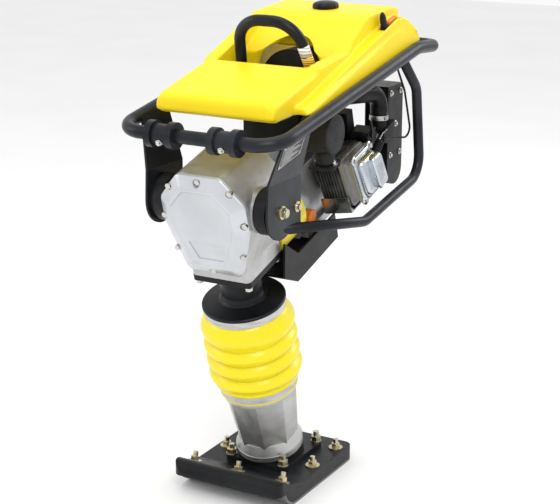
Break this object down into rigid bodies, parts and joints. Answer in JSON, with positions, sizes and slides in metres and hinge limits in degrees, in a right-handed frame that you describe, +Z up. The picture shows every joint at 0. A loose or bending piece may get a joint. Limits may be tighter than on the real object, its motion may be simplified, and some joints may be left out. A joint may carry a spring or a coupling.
{
  "type": "jumping jack rammer",
  "caption": "Upright trench rammer: flat shoe on a spring leg with a ribbed bellows, crankcase with an engine behind it, tube handle with fuel tank and lifting loop.",
  "frame": {"origin": "centre of the flat sole, where the leg's axis meets the ground", "axes": "+Z up; -Y is the front, the way the leg leans; +X is the machine's right side, with the exhaust"},
  "size_m": [0.42, 0.8396, 1.0918],
  "materials": {
    "black_paint": "semi-gloss",
    "worn_steel": "machined",
    "gold_zinc": "yellow zinc plated",
    "silver_zinc": "zinc plated",
    "cast_aluminium": "as cast",
    "silver_paint": "satin silver",
    "bright_cover": "polished",
    "machined_steel": "ground",
    "spring_steel": "oiled",
    "yellow_bellows": "gloss",
    "gasket_paper": "matte",
    "black_rubber": "matte",
    "yellow_paint": "gloss",
    "cast_iron": "as cast",
    "black_plastic": "moulded",
    "orange_plastic": "moulded",
    "clutch_lining": "friction lining",
    "yellow_tank": "moulded, satin",
    "plate_metal": "printed plate"
  },
  "bodies": {
    "foot": {"shoe": "black_paint", "sole_plate": "worn_steel", "shoe_bolts": "gold_zinc", "foot_flange": "black_paint", "flange_bolts": "gold_zinc", "foot_casting": "cast_aluminium", "lower_clamp": "silver_zinc", "spring_cylinder": "machined_steel", "cylinder_cap": "machined_steel", "lower_spring": "spring_steel", "upper_spring": "spring_steel"},
    "machine": {"guide_cylinder": "black_paint", "bellows": "yellow_bellows", "upper_clamp": "silver_zinc", "crankcase": "cast_aluminium", "front_cover": "silver_paint", "cover_gasket": "gasket_paper", "cover_bolts": "silver_zinc", "base_bolts": "silver_zinc", "crank_bearing": "machined_steel", "pinion_bearing": "machined_steel", "rubber_mounts": "black_rubber", "clutch_housing": "yellow_paint", "engine_block": "cast_aluminium", "engine_barrel": "cast_iron", "cylinder_head": "cast_aluminium", "rocker_cover": "bright_cover", "rocker_bolts": "silver_zinc", "engine_shroud": "cast_aluminium", "fan_housing": "black_plastic", "muffler": "black_paint", "carburettor": "black_plastic", "plug_cap": "black_rubber", "belly_guard": "black_paint", "throttle_cable": "black_rubber", "intake_hose": "black_rubber", "fuel_hose": "black_rubber"},
    "crank": {"crank_gear": "worn_steel"},
    "con_rod": {"con_rod": "machined_steel"},
    "piston": {"piston_rod": "machined_steel", "piston": "machined_steel"},
    "clutch_drum": {"clutch_drum": "worn_steel"},
    "engine_shaft": {"engine_crankshaft": "machined_steel", "clutch_shoes": "clutch_lining", "flywheel": "worn_steel"},
    "handle": {"handle_frame": "black_paint", "guard_right": "black_paint", "guard_left": "black_paint", "side_plates": "black_paint", "plate_bolts": "gold_zinc", "bar_collars": "black_paint", "fuel_tank": "yellow_tank", "lifting_hook": "black_paint", "air_cleaner": "black_plastic", "data_plate": "plate_metal"},
    "fuel_cap": {"fuel_cap": "black_plastic"},
    "throttle_lever": {"throttle_lever": "black_plastic"},
    "choke_lever": {"choke_lever": "black_plastic"},
    "starter_grip": {"starter_grip": "black_rubber"},
    "oil_plug": {"oil_plug": "orange_plastic"}
  },
  "joints": [
    {"name": "leg_slide", "type": "slide", "parent": "foot", "child": "machine", "axis": [0, -0.284, 0.9588], "range_m": [-0.015, 0.035], "stiffness_N_per_m": 20000, "springref_m": 0.028, "deforming": ["bellows", "lower_spring", "upper_spring"]},
    {"name": "crank_spin", "type": "hinge", "parent": "machine", "child": "crank", "pos_m": [0, -0.20108, 0.67884], "axis": [0, 0.9588, 0.284], "continuous": true},
    {"name": "rod_swing", "type": "hinge", "parent": "crank", "child": "con_rod", "pos_m": [0, -0.19199, 0.64816], "axis": [0, 0.9588, 0.284], "continuous": true},
    {"name": "piston_slide", "type": "slide", "parent": "machine", "child": "piston", "axis": [0, -0.284, 0.9588], "range_m": [0, 0.064]},
    {"name": "drum_spin", "type": "hinge", "parent": "machine", "child": "clutch_drum", "pos_m": [0, -0.17424, 0.58824], "axis": [0, 0.9588, 0.284], "continuous": true},
    {"name": "engine_spin", "type": "hinge", "parent": "machine", "child": "engine_shaft", "pos_m": [0, -0.17424, 0.58824], "axis": [0, 0.9588, 0.284], "continuous": true},
    {"name": "handle_rock", "type": "hinge", "parent": "machine", "child": "handle", "pos_m": [0, -0.235, 0.708], "axis": [1, 0, 0], "range_deg": [-3, 3], "stiffness_Nm_per_rad": 4000, "springref_deg": 0.86, "deforming": ["throttle_cable", "intake_hose", "fuel_hose"]},
    {"name": "cap_turn", "type": "hinge", "parent": "handle", "child": "fuel_cap", "pos_m": [0, 0.246, 1.075], "axis": [0, -0.0593, 0.9982], "range_deg": [0, 90]},
    {"name": "throttle_turn", "type": "hinge", "parent": "handle", "child": "throttle_lever", "pos_m": [0.155, 0.246, 1.04], "axis": [1, 0, 0], "range_deg": [-35, 30]},
    {"name": "choke_turn", "type": "hinge", "parent": "machine", "child": "choke_lever", "pos_m": [0.14, 0.21597, 0.79195], "axis": [1, 0, 0], "range_deg": [0, 50]},
    {"name": "starter_pull", "type": "slide", "parent": "machine", "child": "starter_grip", "axis": [-1, 0, 0], "range_m": [0, 0.4], "stiffness_N_per_m": 30},
    {"name": "plug_turn", "type": "hinge", "parent": "machine", "child": "oil_plug", "pos_m": [0.05, 0.07661, 0.61457], "axis": [1, 0, 0], "continuous": true}
  ],
  "couplings": [
    {"joint": "rod_swing", "follows": "crank_spin", "ratio": -1},
    {"joint": "drum_spin", "follows": "crank_spin", "ratio": -6},
    {"joint": "engine_spin", "follows": "crank_spin", "ratio": -6}
  ]
}
